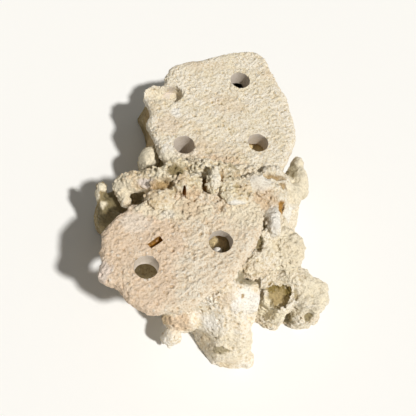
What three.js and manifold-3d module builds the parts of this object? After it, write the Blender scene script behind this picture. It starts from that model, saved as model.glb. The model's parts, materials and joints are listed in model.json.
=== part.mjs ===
// An aquarium reef rock: pieces of dry coral limestone bonded into one rock that carries two level ledges.
// Each ledge is drilled with round holes that take the stems of coral plugs.
// Millimetres, +Z up, standing on z = 0 with the origin under the middle of the rock.
// +Y runs from the pointed foot at the front to the back ledge, and +X is to the right.

import * as THREE from "three";
import { ImprovedNoise } from "three/addons/math/ImprovedNoise.js";
import { mergeVertices } from "three/addons/utils/BufferGeometryUtils.js";
import Module from "manifold-3d";

const wasm = await Module();
wasm.setup();

// Driving dimensions
const PLUG_HOLE = 12.7; // bore for a half-inch plug stem
const LEDGE_THICKNESS = 11;
const BACK_TOP = 52; // height of the back ledge's face
const FRONT_TOP = 66; // height of the front ledge's face
const BOND_GAP = 0.35; // clearance left where two bonded pieces meet
const HOLE_SIDES = 20;
const SLIT_LENGTH = 8;
const SLIT_WIDTH = 3;

const CREAM = { color: "#e6d7b8", roughness: 0.95 };
const PALE = { color: "#f1ead9", roughness: 0.95 };
const BROWN = { color: "#8a7a5c", roughness: 1 };

const noise = new ImprovedNoise();

// Smooth random height from -1 to 1 at a point, for bumps about `size` mm across.
function bump(p, size, seed = 0) {
  const shift = seed * 17.31;
  return noise.noise(p.x / size + shift, p.y / size - shift, p.z / size + 0.5 * shift);
}

// A closed geometry as a solid that can be joined and cut.
function solid(geometry) {
  const bare = geometry.index ? geometry.toNonIndexed() : geometry.clone();
  bare.deleteAttribute("normal");
  bare.deleteAttribute("uv");
  const merged = mergeVertices(bare, 1e-4);
  return new wasm.Manifold(
    new wasm.Mesh({
      numProp: 3,
      vertProperties: merged.attributes.position.array,
      triVerts: new Uint32Array(merged.index.array),
    }),
  );
}

const joined = (solids) => solids.reduce((whole, next) => whole.add(next));

// The largest connected body, so that no loose crumb is left by a cut.
function largest(shape) {
  const bodies = shape.decompose();
  return bodies.reduce((best, body) => (body.volume() > best.volume() ? body : best));
}

// One knob of rock: a ball pressed towards a box by `square`, stretched to `half`, leaned, turned and roughened.
// `grow` swells it by that many millimetres.
function lump({ at, half, square = 2.4, turn = 0, lean = 0, rough = 0.14, grain = 9 }, grow = 0) {
  const detail = THREE.MathUtils.clamp(Math.round(Math.max(...half) / 8), 1, 2);
  const geometry = new THREE.IcosahedronGeometry(1, detail);
  const place = geometry.attributes.position;
  const tilt = new THREE.Euler(
    THREE.MathUtils.degToRad(lean),
    0,
    THREE.MathUtils.degToRad(turn),
    "ZXY",
  );
  const stretch = new THREE.Vector3(...half);
  const middle = new THREE.Vector3(...at);
  const p = new THREE.Vector3();
  const probe = new THREE.Vector3();
  for (let i = 0; i < place.count; i++) {
    p.fromBufferAttribute(place, i);
    const size = ["x", "y", "z"].reduce((sum, axis) => sum + Math.abs(p[axis]) ** square, 0);
    p.multiplyScalar(size ** (-1 / square));
    probe.copy(p).multiply(stretch).add(middle);
    const swell = 1 + rough * (bump(probe, grain) + 0.5 * bump(probe, grain / 2.3, 1));
    p.set(
      p.x * (stretch.x * swell + grow),
      p.y * (stretch.y * swell + grow),
      p.z * (stretch.z * swell + grow),
    );
    p.applyEuler(tilt).add(middle);
    place.setXYZ(i, p.x, p.y, p.z);
  }
  return solid(geometry);
}

// A round stack of rings that share one middle, closed at both ends, outside first to last from the top down.
function stack(rings, topMiddle, bottomMiddle) {
  const n = rings[0].length;
  const points = [...rings.flat(), topMiddle, bottomMiddle];
  const top = points.length - 2;
  const bottom = points.length - 1;
  const last = (rings.length - 1) * n;
  const index = [];
  for (let i = 0; i < n; i++) {
    const j = (i + 1) % n;
    index.push(top, j, i, bottom, last + i, last + j);
    for (let ring = 0; ring + 1 < rings.length; ring++) {
      const upper = ring * n;
      const lower = upper + n;
      index.push(upper + i, lower + j, lower + i, upper + i, upper + j, lower + j);
    }
  }
  const geometry = new THREE.BufferGeometry().setFromPoints(points);
  geometry.setIndex(index);
  return solid(geometry);
}

// Evenly spaced points, clockwise, on a closed smooth curve through plan corners, and their middle
function rimOf(outline, count) {
  const corners = outline.map(([x, y]) => new THREE.Vector3(x, y, 0));
  if (!THREE.ShapeUtils.isClockWise(corners)) {
    corners.reverse();
  }
  const rim = new THREE.CatmullRomCurve3(corners, true, "centripetal").getSpacedPoints(count);
  rim.pop();
  const middle = rim.reduce((sum, p) => sum.add(p), new THREE.Vector3()).divideScalar(count);
  return { rim, middle };
}

// A ledge: a flat plate of natural outline with a broken, rounded rim.
// Its rings come in from the face, go over the rim and back in under the plate.
function ledge({ outline, top, thickness = LEDGE_THICKNESS, ragged = 1.1, points = 46 }, grow = 0) {
  const { rim, middle } = rimOf(outline, points);
  const profile = [
    { inset: 3, depth: 0, level: grow },
    { inset: 0.3, depth: 1.8, level: grow },
    { inset: 0, depth: thickness * 0.6, level: 0 },
    { inset: 3.5, depth: thickness, level: -grow },
  ];
  const probe = new THREE.Vector3();
  const rings = profile.map(({ inset, depth, level }) =>
    rim.map((p) => {
      const arm = p.clone().sub(middle);
      probe.set(p.x, p.y, top - depth);
      const tear = ragged * (bump(probe, 6, 2) + 0.5 * bump(probe, 3, 3));
      const reach = arm.length() - inset + tear + grow;
      return middle.clone().addScaledVector(arm.normalize(), reach).setZ(top - depth + level);
    }),
  );
  const above = middle.clone().setZ(top + grow);
  const below = middle.clone().setZ(top - thickness - grow);
  return stack(rings, above, below);
}

// A mound: a rough rock of natural outline that narrows to `crown` of its width at the top.
// `shift` moves its top sideways, and `rough` is the height of its bumps in mm.
function mound(
  { outline, floor = -2, top, crown = 0.6, shift = [0, 0], points = 24, levels = 3, rough = 2.4, grain = 13 },
  grow = 0,
) {
  const { rim, middle } = rimOf(outline, points);
  const probe = new THREE.Vector3();
  const rings = [];
  const axis = (t) => new THREE.Vector3(shift[0], shift[1], 0).multiplyScalar(1 - t).add(middle);
  for (let k = -1; k <= levels; k++) {
    const t = Math.max(k, 0) / levels;
    const share = k < 0 ? crown / 2 : crown + (1 - crown) * Math.sin((t * Math.PI) / 2) ** 0.8;
    const height = top + (floor - top) * t;
    rings.push(
      rim.map((p) => {
        const arm = p.clone().sub(middle);
        probe.copy(arm).multiplyScalar(share).add(axis(t)).setZ(height);
        const wave = rough * (bump(probe, grain) + 0.5 * bump(probe, grain / 2.4, 1));
        const reach = arm.length() * share + (k < 0 ? 0 : 1.6 * wave) + grow;
        const level = k === levels ? -grow : (1 - t) * (grow + wave);
        return axis(t).addScaledVector(arm.normalize(), reach).setZ(height + level);
      }),
    );
  }
  return stack(rings, axis(0).setZ(top + grow), axis(1).setZ(floor - grow));
}

// A rock: mounds and lumps grown into one
const rock = ({ mounds = [], lumps = [] }) => (grow) =>
  joined([...mounds.map((one) => mound(one, grow)), ...lumps.map((one) => lump(one, grow))]);

// A drilled hole: a straight round bore from above the face down to `floor`.
function bore({ at: [x, y], face, floor }) {
  const above = 8;
  const length = face + above - floor;
  const drill = new THREE.CylinderGeometry(PLUG_HOLE / 2, PLUG_HOLE / 2, length, HOLE_SIDES);
  drill.rotateX(Math.PI / 2).translate(x, y, floor + length / 2);
  return solid(drill);
}

function box([x, y, z], [width, depth, height], turn = 0) {
  const shape = new THREE.BoxGeometry(width, depth, height);
  shape.rotateZ(THREE.MathUtils.degToRad(turn)).translate(x, y, z);
  return solid(shape);
}

// The back ledge, clockwise from the notch by its broken hole
const backLedge = (grow) =>
  ledge(
    {
      top: BACK_TOP,
      outline: [
        [-28, 87],
        [-27, 95],
        [-22, 105],
        [-7, 110],
        [8, 116],
        [27, 122],
        [37, 120],
        [42, 107],
        [52, 84],
        [56, 60],
        [52, 43],
        [46, 30],
        [30, 22],
        [4, 22],
        [-16, 29],
        [-26, 31],
        [-29.5, 38],
        [-33, 48],
        [-37.5, 56],
        [-35.5, 64],
        [-38, 71],
        [-41, 79],
        [-38, 87],
      ],
    },
    grow,
  );

// The front ledge, clockwise from its left end
const frontLedge = (grow) =>
  ledge(
    {
      top: FRONT_TOP,
      outline: [
        [-58, -34],
        [-56, -21],
        [-45, -10],
        [-28, -3],
        [-8, 3],
        [14, 4],
        [28, -5],
        [28, -19],
        [18, -36],
        [9, -49],
        [-3, -57.5],
        [-10, -63.5],
        [-30, -66.5],
        [-41, -62],
        [-48, -53.5],
        [-54, -53],
        [-58.5, -48],
        [-56, -41],
      ],
    },
    grow,
  );

// Where the broken hole's rim has fallen away, and the corner knocked out of the ledge behind it
const brokenRim = [
  { at: [-33, 80, 54], half: [10, 7, 9], turn: 15, rough: 0.2, grain: 6 },
  { at: [-33, 90, 53], half: [7, 4, 9], turn: -10, rough: 0.2 },
];

// The flat pale flake that lies on the top, where the two ledges meet
const flakeRock = rock({
  lumps: [{ at: [14, 3, 68.2], half: [9.5, 9, 3], square: 3, turn: 6, lean: -4, rough: 0.12, grain: 6 }],
});

// The white broken block under the front ledge, which runs out into the pointed foot and a small toe
const footRock = rock({
  mounds: [
    {
      outline: [
        [34, -46],
        [28, -57],
        [28, -66],
        [33.5, -74.5],
        [31, -79],
        [23, -80],
        [15, -79],
        [8, -75],
        [2, -69],
        [-2, -60],
        [-12, -55],
        [-22, -48],
        [-24, -36],
        [0, -32],
        [28, -34],
      ],
      top: 57,
      crown: 0.42,
      shift: [-3, 13],
      rough: 1.3,
      points: 30,
      levels: 2,
    },
  ],
  lumps: [
    { at: [20.5, -51, 32], half: [10.5, 4.5, 20], square: 6, turn: 6, lean: -20, rough: 0.05 },
    { at: [18, -65, 16], half: [12, 9, 15], square: 3.5, turn: 8, lean: -30, rough: 0.12 },
    { at: [2, -52, 34], half: [13, 6.5, 18], square: 4, turn: -24, lean: -24, rough: 0.1 },
    { at: [-13, -59, 28], half: [10, 4, 9], square: 3, turn: -14, lean: -10, rough: 0.15 },
    { at: [-16.5, -65.5, 17], half: [5.2, 5.2, 8], rough: 0.25, grain: 5 },
  ],
});

// The pitted rock at the front right corner, and the crumbly flank that climbs from it to the ledge
const cornerRock = rock({
  mounds: [
    {
      outline: [
        [54, -20],
        [62, -26],
        [68, -33],
        [73, -33.5],
        [77, -39],
        [76, -44],
        [72, -48],
        [71, -51.5],
        [66, -54.5],
        [59, -53],
        [53.5, -48],
        [47, -55.5],
        [40, -53],
        [31, -48],
        [27, -40],
        [34, -26],
      ],
      top: 37,
      crown: 0.8,
      rough: 2,
      grain: 9,
      points: 26,
    },
    {
      outline: [
        [24, -34],
        [40, -38],
        [57, -36],
        [63, -24],
        [63.5, -12],
        [60, 0],
        [58, 8],
        [38, 8],
        [22, -10],
      ],
      top: 51,
      crown: 0.5,
      shift: [-6, 2],
      grain: 9,
    },
  ],
  lumps: [
    { at: [52, -34, 35], half: [12, 7, 7], turn: -14, rough: 0.2, grain: 6 },
    { at: [67.5, -41, 24], half: [8, 8, 9], rough: 0.14, grain: 8 },
    { at: [62, -49.5, 19], half: [9, 7, 10], rough: 0.16, grain: 7 },
    { at: [33, -28, 45], half: [10, 8, 7], rough: 0.25, grain: 5 },
    { at: [47, -18, 41], half: [10, 10, 9], rough: 0.2, grain: 7 },
  ],
});
const cornerPits = [
  { at: [39.5, -46.5, 37], half: [5, 5.5, 7], lean: -30, turn: 12 },
  { at: [44.5, -46, 37], half: [4.2, 5, 7], lean: -30, turn: 12 },
  { at: [62.5, -54, 26], half: [2.8, 2.8, 5], lean: -30 },
  { at: [51.5, -57, 10], half: [2.5, 6, 14] },
];

// The rock at the right, with a fin that stands clear of the back ledge and a white broken face by the front one
const hornRock = rock({
  mounds: [
    {
      outline: [
        [18, 28],
        [38, 34],
        [54, 46],
        [64, 44],
        [68, 32],
        [66, 20],
        [65, 8],
        [58, -4],
        [42, -18],
        [28, -14],
        [16, 6],
      ],
      top: 59,
      crown: 0.5,
      shift: [-10, -4],
      grain: 10,
      points: 24,
      levels: 4,
    },
  ],
  lumps: [
    { at: [57.5, 28, 41], half: [6, 12, 9], square: 2.2, turn: 14, lean: 8 },
    { at: [57, 38.5, 44], half: [3.6, 4.5, 6], turn: 10, rough: 0.1 },
    { at: [36.5, -10, 57], half: [3.8, 9.5, 6], square: 4, turn: -6, lean: -12, rough: 0.1 },
    { at: [28, 13, 57], half: [11, 8, 6], rough: 0.22, grain: 6 },
    { at: [39, 8, 54], half: [8, 10, 7], rough: 0.22, grain: 6 },
    { at: [50, 16, 44], half: [8, 9, 9], rough: 0.2, grain: 7 },
    { at: [22, 25, 51], half: [12, 6, 5], rough: 0.25, grain: 5 },
  ],
});

// The knuckled ridge at the left, and the crust of coral crumbs that runs from it between the ledges
const ridgeRock = rock({
  mounds: [
    {
      outline: [
        [-32, 20],
        [-16, 28],
        [4, 29],
        [20, 24],
        [26, 6],
        [14, -10],
        [-4, -17],
        [-24, -15],
        [-31, -6],
        [-32, 6],
      ],
      floor: 38,
      top: 64,
      crown: 0.8,
      rough: 2.8,
      grain: 8,
      points: 28,
    },
  ],
  lumps: [
    { at: [-49, 12, 49], half: [5.5, 6.5, 7], rough: 0.2, grain: 5 },
    { at: [-43, 13, 53], half: [7.5, 6, 7], rough: 0.18, grain: 6 },
    { at: [-34, 13, 56], half: [8, 6.5, 7.5], rough: 0.22, grain: 5 },
    { at: [-47.5, 4.5, 48], half: [3.2, 6, 5], turn: 20, rough: 0.2, grain: 5 },
    { at: [-28, -4, 63], half: [9, 8, 7], rough: 0.22, grain: 5 },
    { at: [-18, 18, 59], half: [7.5, 6, 8], rough: 0.25, grain: 5 },
    { at: [-27, 10, 60], half: [8, 7, 7], rough: 0.25, grain: 5 },
    { at: [-13, 5, 64], half: [9, 9, 6], rough: 0.25, grain: 5 },
    { at: [-3, 19, 60], half: [7, 7, 7], rough: 0.22, grain: 5 },
    { at: [8, 14, 63], half: [7, 7, 6], rough: 0.2, grain: 6 },
    { at: [1, 8, 69], half: [3, 7, 6], square: 3, turn: -6, rough: 0.1 },
  ],
});

// The brown weathered rock under the back ledge, with a paler knob at its left
const rearRock = rock({
  mounds: [
    {
      outline: [
        [-34, 103],
        [-42, 99],
        [-42, 91],
        [-39, 81],
        [-37, 71],
        [-38, 58],
        [-39, 48],
        [-34, 32],
        [-18, 24],
        [20, 21],
        [43, 30],
        [48, 60],
        [45, 84],
        [39, 113],
        [12, 115],
        [-12, 104],
        [-26, 107],
      ],
      top: 43,
      crown: 0.84,
      shift: [2, -2],
      rough: 2.4,
      points: 30,
    },
  ],
  lumps: [{ at: [-35, 40, 31], half: [6, 9.5, 14], rough: 0.14, grain: 10 }],
});

// The brown weathered rock that the front stands on, with a low fin at the left and a pale hooked claw on it
const baseRock = rock({
  mounds: [
    {
      outline: [
        [-62, 24],
        [-40, 36],
        [0, 30],
        [44, 16],
        [48, -12],
        [36, -30],
        [16, -38],
        [-20, -38],
        [-38, -42],
        [-50, -28],
        [-55, -2],
        [-62, 10],
      ],
      top: 46,
      crown: 0.45,
      shift: [6, 4],
      rough: 2.6,
      points: 26,
    },
  ],
  lumps: [
    { at: [-59.5, 8, 16], half: [6.5, 10, 25], lean: 14, turn: 4, rough: 0.16 },
    { at: [-61.2, 13, 43], half: [3.4, 3.8, 4.5], rough: 0.2, grain: 4 },
    { at: [-62, 8.5, 42], half: [2.8, 4, 5], rough: 0.2, grain: 4 },
    { at: [-59, 5, 40.5], half: [3.6, 2.6, 3.6], rough: 0.2, grain: 4 },
    { at: [-51, 8, 20], half: [13, 13, 22], rough: 0.16 },
  ],
});

// Drilled holes: [x, y] on the ledge, the ledge's face, and how far down the drill went
const holes = [
  { at: [21, 95], face: BACK_TOP, floor: 30 },
  { at: [-22.5, 80], face: BACK_TOP, floor: 44 },
  { at: [-14.5, 42], face: BACK_TOP, floor: 31 },
  { at: [31, 47.5], face: BACK_TOP, floor: 33 },
  { at: [-33.5, -43.5], face: FRONT_TOP, floor: 24 },
  { at: [5, -27], face: FRONT_TOP, floor: 44 },
];
const drilled = joined(holes.map(bore));

// The hollow in the rock under the front ledge that its right hole opens into
const hollow = { at: [4, -22, 51], half: [10, 10, 8], rough: 0.2, grain: 6 };

// The shady recess between the ledge, the white block and the flank
const recess = { at: [23, -38.5, 57], half: [8, 6.5, 7], rough: 0.15 };

const slit = box([-29.5, -29.5, FRONT_TOP], [SLIT_LENGTH, SLIT_WIDTH, 3 * LEDGE_THICKNESS], 40);
const ground = box([0, 0, -50], [400, 400, 100]);
const cutters = (pits) => pits.map((one) => lump(one));

// The pieces from the first that is set to the last: each is fitted round those before it.
const order = [
  { name: "back_ledge", shape: backLedge, finish: CREAM, cuts: cutters(brokenRim) },
  { name: "front_ledge", shape: frontLedge, finish: CREAM, cuts: [slit] },
  { name: "pale_flake", shape: flakeRock, finish: PALE },
  { name: "rear_rock", shape: rearRock, finish: BROWN },
  { name: "base_rock", shape: baseRock, finish: BROWN, cuts: cutters([hollow]) },
  { name: "foot_rock", shape: footRock, finish: PALE, cuts: cutters([hollow, recess]) },
  { name: "corner_rock", shape: cornerRock, finish: CREAM, cuts: cutters(cornerPits) },
  { name: "horn_rock", shape: hornRock, finish: CREAM, cuts: cutters([hollow]) },
  { name: "ridge_rock", shape: ridgeRock, finish: CREAM, cuts: cutters([hollow]) },
];

const reefRock = new THREE.Group();
reefRock.name = "reef_rock";
let placed = null;
for (const { name, shape, finish, cuts = [] } of order) {
  let piece = shape(0).subtract(drilled).subtract(ground);
  for (const cut of cuts) {
    piece = piece.subtract(cut);
  }
  if (placed) {
    piece = piece.subtract(placed);
  }
  piece = largest(piece);
  const swollen = shape(BOND_GAP);
  placed = placed ? placed.add(swollen) : swollen;
  const { vertProperties, triVerts } = piece.getMesh();
  const geometry = new THREE.BufferGeometry();
  geometry.setAttribute("position", new THREE.BufferAttribute(vertProperties, 3));
  geometry.setIndex(new THREE.BufferAttribute(triVerts, 1));
  geometry.computeVertexNormals();
  const mesh = new THREE.Mesh(geometry, new THREE.MeshStandardMaterial(finish));
  mesh.name = name;
  reefRock.add(mesh);
}

// The origin goes under the middle of the rock.
const bounds = new THREE.Box3().setFromObject(reefRock);
const centre = bounds.getCenter(new THREE.Vector3());
for (const mesh of reefRock.children) {
  mesh.position.set(-centre.x, -centre.y, -bounds.min.z);
}

export default reefRock;
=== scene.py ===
# %% [markdown]
# # Aquarium reef rock
# Pieces of dry coral limestone are bonded into one rock with two flat ledges.
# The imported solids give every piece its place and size. Here each solid is copied, grown over with coral
# crumbs, remeshed finely enough to hold grain and pits, weathered, and drilled again with clean holes.

# %% Load the solids
import json
import math

import bmesh
import bpy
from mathutils import Matrix, Vector, noise


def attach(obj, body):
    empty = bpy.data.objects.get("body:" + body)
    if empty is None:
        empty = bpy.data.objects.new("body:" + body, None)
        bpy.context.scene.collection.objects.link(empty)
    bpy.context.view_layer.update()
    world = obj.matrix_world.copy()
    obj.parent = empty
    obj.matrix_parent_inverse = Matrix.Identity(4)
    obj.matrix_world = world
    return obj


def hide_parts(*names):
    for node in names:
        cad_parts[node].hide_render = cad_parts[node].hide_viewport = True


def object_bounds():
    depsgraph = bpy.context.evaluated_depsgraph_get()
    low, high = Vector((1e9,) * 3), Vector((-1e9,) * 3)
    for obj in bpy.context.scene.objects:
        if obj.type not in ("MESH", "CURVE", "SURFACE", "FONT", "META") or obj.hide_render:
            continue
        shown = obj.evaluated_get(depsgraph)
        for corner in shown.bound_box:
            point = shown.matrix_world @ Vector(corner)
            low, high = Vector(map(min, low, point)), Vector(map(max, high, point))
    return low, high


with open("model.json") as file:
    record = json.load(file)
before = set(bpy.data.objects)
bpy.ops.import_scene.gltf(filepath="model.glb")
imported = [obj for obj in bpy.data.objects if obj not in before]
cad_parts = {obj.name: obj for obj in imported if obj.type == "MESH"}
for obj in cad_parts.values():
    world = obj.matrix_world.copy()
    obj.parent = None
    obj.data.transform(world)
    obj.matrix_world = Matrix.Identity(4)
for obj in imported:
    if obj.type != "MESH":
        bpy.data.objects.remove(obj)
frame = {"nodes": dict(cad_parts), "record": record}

cad_low, cad_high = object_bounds()
print("solids span", [round(1000 * (b - a), 1) for a, b in zip(cad_low, cad_high)], "mm")

# %% [markdown]
# ## One plan for everything
# Places are written in millimetres on the plan that the rock was measured on. The drilled holes are known
# to both the plan and the frame, so one of them ties the two together.

# %% Plan to frame
MM = 0.001
BACK_TOP = 52.0  # height of the back ledge's face
FRONT_TOP = 66.0  # height of the front ledge's face
LEDGE_THICKNESS = 11.0
HOLE_RADIUS = 6.35  # a half-inch bore for the stem of a coral plug
PLAN_HOLES = {
    "back_hole_right_rear": (21.0, 95.0),
    "back_hole_left_rear": (-22.5, 80.0),
    "back_hole_left_front": (-14.5, 42.0),
    "back_hole_right_front": (31.0, 47.5),
    "front_hole_left": (-33.5, -43.5),
    "front_hole_right": (5.0, -27.0),
}

openings = {one["name"]: one["box_m"] for one in frame["record"]["physics"]["openings"]}
tie_low, tie_high = (Vector(corner) for corner in openings["back_hole_right_rear"])
tie_plan = Vector((*PLAN_HOLES["back_hole_right_rear"], 0.0)) * MM
SHIFT = Vector(((tie_low.x + tie_high.x) / 2, (tie_low.y + tie_high.y) / 2, 0.0)) - tie_plan


def place(x, y, z):
    """A plan point in mm as a point of the frame in metres."""
    return Vector((x, y, z)) * MM + SHIFT


print("plan shift", [round(1000 * c, 2) for c in SHIFT], "mm")

# %% [markdown]
# ## Camera
# The rock is seen from the front and well above. The focal length, tilt and roll come from the six equal
# holes: seen at a slant they are ellipses, and those only fit one viewpoint.

# %% Camera
FRAME_PIXELS = 416
FOCAL_PIXELS = 600
SENSOR_WIDTH = 36  # mm
TILT = math.radians(28.6)  # off vertical
ROLL = math.radians(15.9)
HEADING = math.radians(14.0)
HEIGHT_OVER_BACK_LEDGE = 300.5

back_off = HEIGHT_OVER_BACK_LEDGE * math.tan(TILT)
eye = place(
    -back_off * math.sin(HEADING),
    -back_off * math.cos(HEADING),
    BACK_TOP + HEIGHT_OVER_BACK_LEDGE,
)
level_right = Vector((math.cos(HEADING), -math.sin(HEADING), 0))
gaze = Vector((math.sin(HEADING) * math.sin(TILT), math.cos(HEADING) * math.sin(TILT), -math.cos(TILT)))
level_up = level_right.cross(gaze)
right = math.cos(ROLL) * level_right + math.sin(ROLL) * level_up
up = -math.sin(ROLL) * level_right + math.cos(ROLL) * level_up

camera_data = bpy.data.cameras.new("camera")
camera_data.sensor_width = SENSOR_WIDTH
camera_data.lens = FOCAL_PIXELS / FRAME_PIXELS * SENSOR_WIDTH
camera_data.clip_start = 0.01
camera = bpy.data.objects.new("camera", camera_data)
camera.matrix_world = Matrix.Translation(eye) @ Matrix((right, up, -gaze)).transposed().to_4x4()
bpy.context.scene.collection.objects.link(camera)
bpy.context.scene.camera = camera
print("lens", round(camera_data.lens, 2), "mm")

# %% [markdown]
# ## One helper for nodes
# All node trees below are built with it: it adds a node, sets its properties and feeds its inputs, by name
# or by number. Blender's long names for the commonest nodes get short ones here, and so do the numbers
# of inputs that aren't simply first, second and third.

# %% Node helper
MATH, VECTOR_MATH, MAP_RANGE = "ShaderNodeMath", "ShaderNodeVectorMath", "ShaderNodeMapRange"
MIX, NOISE = "ShaderNodeMix", "ShaderNodeTexNoise"
READ, STORE = "GeometryNodeInputNamedAttribute", "GeometryNodeStoreNamedAttribute"
SET_POSITION = "GeometryNodeSetPosition"
SHARE, FIRST, SECOND = 0, 6, 7  # inputs of a Mix node for colours
MIXED = 2  # and its output
LEAST, MOST = 2, 3  # inputs of a Random Value node for single numbers
DRAWN = 1  # and its output


def add(tree, kind, inputs=(), **settings):
    """A new node. Each input gets a plain value, a socket, or the first output of another node.

    The inputs come in order, or as a dictionary of their names or numbers.
    """
    node = tree.nodes.new(kind)
    for key, value in settings.items():
        setattr(node, key, value)
    for key, value in inputs.items() if isinstance(inputs, dict) else enumerate(inputs):
        if isinstance(value, bpy.types.Node):
            value = value.outputs[0]
        if isinstance(value, bpy.types.NodeSocket):
            tree.links.new(value, node.inputs[key])
        else:
            node.inputs[key].default_value = value
    return node


print("short names for", MATH, VECTOR_MATH, MAP_RANGE, MIX, NOISE, READ, STORE, SET_POSITION)

# %% Colours
def colour(hex_code):
    """An sRGB hex colour as the linear colour that Blender works in."""
    channels = [int(hex_code[i : i + 2], 16) / 255 for i in (1, 3, 5)]
    linear = [c / 12.92 if c <= 0.04045 else ((c + 0.055) / 1.055) ** 2.4 for c in channels]
    return (*linear, 1.0)


BLACK = colour("#000000")
print("cream is", [round(c, 3) for c in colour("#f3e8ce")], "in linear light")

# %% [markdown]
# ## Limestone
# Dead coral rock is chalky, rough and without shine: bleached cream in the open, stained tan or brown in
# the hollows, where the stain also stands in for their shade, and nearly white at a fresh break. An image
# could show that, but layers of noise in mm stay sharp at any distance and fit every piece.

# %% Clouds and stains
CLOUD_MM = 8  # width of the soft clouds in the body's colour
STAIN_MM = 26  # width of a stained patch
SLOPE_MM = 30  # distance over which a sloped stain grows by its slope


def clouded(tree, mm, tones, stain, slope):
    """The body's colour: two tones in clouds, with a stain in patches, more of them towards -X."""
    clouds = add(tree, NOISE, {"Vector": mm, "Scale": 1 / CLOUD_MM, "Detail": 5, "Roughness": 0.7})
    tone = add(tree, MAP_RANGE, {"Value": clouds.outputs["Fac"], "From Min": 0.38, "From Max": 0.62})
    both = {SHARE: tone, FIRST: colour(tones[0]), SECOND: colour(tones[1])}
    body = add(tree, MIX, both, data_type="RGBA").outputs[MIXED]
    patches = add(tree, NOISE, {"Vector": mm, "Scale": 1 / STAIN_MM, "Detail": 5, "Roughness": 0.6})
    across = add(tree, "ShaderNodeSeparateXYZ", {"Vector": mm}).outputs["X"]
    sloped = (across, -slope / SLOPE_MM, patches.outputs["Fac"])
    tilted = add(tree, MATH, sloped, operation="MULTIPLY_ADD")
    edge = 0.62 - 0.3 * stain[1]
    border = {"Value": tilted, "From Min": edge, "From Max": edge + 0.16, "To Max": 0.85}
    here = add(tree, MAP_RANGE, border)
    mixed = {SHARE: here, FIRST: body, SECOND: colour(stain[0])}
    return add(tree, MIX, mixed, data_type="RGBA").outputs[MIXED]


print("clouds are", CLOUD_MM, "mm wide, and stains", STAIN_MM, "mm")

# %% Grains and pinholes
# The pale grains are painted highlights of tiny lit bumps, and the dark pinholes painted shade in tiny pits.
GRAIN_MM = 2.8  # spacing of the coral grains that show as dots
PINHOLE_SHARE = 0.1  # how many of the dots are dark and sunk
GRAIN_SHARE = 0.3  # and how many pale and raised
GRAIN_HIGHLIGHT = "#fbf6ea"


def dots(tree, mm):
    """Masks of the pale grains and of the dark pinholes."""
    cells = add(tree, "ShaderNodeTexVoronoi", {"Vector": mm, "Scale": 1 / GRAIN_MM})
    pick = add(tree, "ShaderNodeSeparateColor", {"Color": cells.outputs["Color"]})
    core = add(tree, MAP_RANGE, {"Value": cells.outputs["Distance"], "From Min": 0.34, "From Max": 0.2})
    is_grain = add(tree, MATH, (pick, 1 - GRAIN_SHARE), operation="GREATER_THAN")
    is_hole = add(tree, MATH, (pick, PINHOLE_SHARE), operation="LESS_THAN")
    grain = add(tree, MATH, (core, is_grain), operation="MULTIPLY")
    pinhole = add(tree, MATH, (core, is_hole), operation="MULTIPLY")
    return grain, pinhole


def dotted(tree, body, masks, speckle, dirt_and_shade):
    """The body's colour with painted highlights on its raised grains and painted shade in its sunk pinholes,
    `speckle` strong.
    """
    for mask, tint in zip(masks, (GRAIN_HIGHLIGHT, dirt_and_shade)):
        strength = add(tree, MATH, (mask, speckle), operation="MULTIPLY")
        mixed = {SHARE: strength, FIRST: body, SECOND: colour(tint)}
        body = add(tree, MIX, mixed, data_type="RGBA").outputs[MIXED]
    return body


print("grains are", GRAIN_MM, "mm apart")

# %% Dirt and painted shade
# The dirt in the hollows also stands in for their shade.
DIRT_SHADE_MM = 12  # width of a cleaner or dirtier place


def soiled_and_shaded(tree, mm, clean, dirt_and_shade):
    """Dirt and painted shade where the mesh says that it is hollow, more of it in some places than in
    others.
    """
    hollow = add(tree, "ShaderNodeAttribute", attribute_name="hollow").outputs["Fac"]
    patchy = add(tree, NOISE, {"Vector": mm, "Scale": 1 / DIRT_SHADE_MM, "Detail": 3}).outputs["Fac"]
    uneven = {"Value": patchy, "From Min": 0.35, "From Max": 0.65, "To Min": 0.3, "To Max": 1.0}
    share = add(tree, MAP_RANGE, uneven)
    deep = add(tree, MAP_RANGE, {"Value": hollow, "From Min": 0.03, "From Max": 0.4, "To Max": dirt_and_shade[1]})
    amount = add(tree, MATH, (deep, share), operation="MULTIPLY")
    mixed = {SHARE: amount, FIRST: clean, SECOND: colour(dirt_and_shade[0])}
    return add(tree, MIX, mixed, data_type="RGBA").outputs[MIXED]


print("dirt varies over", DIRT_SHADE_MM, "mm")

# %% [markdown]
# ## Paint
# Single spots are tinted one by one: the mesh carries a colour, multiplied by how much it covers, and that
# cover. The bare stone is dimmed by the cover, and the paint is added.

# %% Paint
def coated(tree, bare, specks):
    """The stone's colour with the mesh's paint over it, mottled by the specks."""
    # Some spots lay painted shade or painted light, not a colour of the stone.
    paint = add(tree, "ShaderNodeAttribute", attribute_name="paint").outputs["Color"]
    cover = add(tree, "ShaderNodeAttribute", attribute_name="painted").outputs["Fac"]
    mottled = {"Value": specks, "From Min": 0.35, "From Max": 0.6, "To Min": 0.82, "To Max": 1.05}
    shade = add(tree, MAP_RANGE, mottled)
    shaded = add(tree, VECTOR_MATH, {0: paint, "Scale": shade}, operation="SCALE")
    left = add(tree, MIX, {SHARE: cover, FIRST: bare, SECOND: BLACK}, data_type="RGBA")
    return add(tree, VECTOR_MATH, (left.outputs[MIXED], shaded), operation="ADD")


print("under full paint, bare stone is", BLACK[:3])

# %% Whole material
CALCITE_IOR = 1.58
CHALK_ROUGHNESS = 0.95
CHALK_SPECULAR = 0.25  # pores swallow about half of what a polished face would reflect
GRAIN_RISE = 0.3  # heights of grains and pinholes, as shares of the relief
PINHOLE_RISE = -0.25


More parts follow.
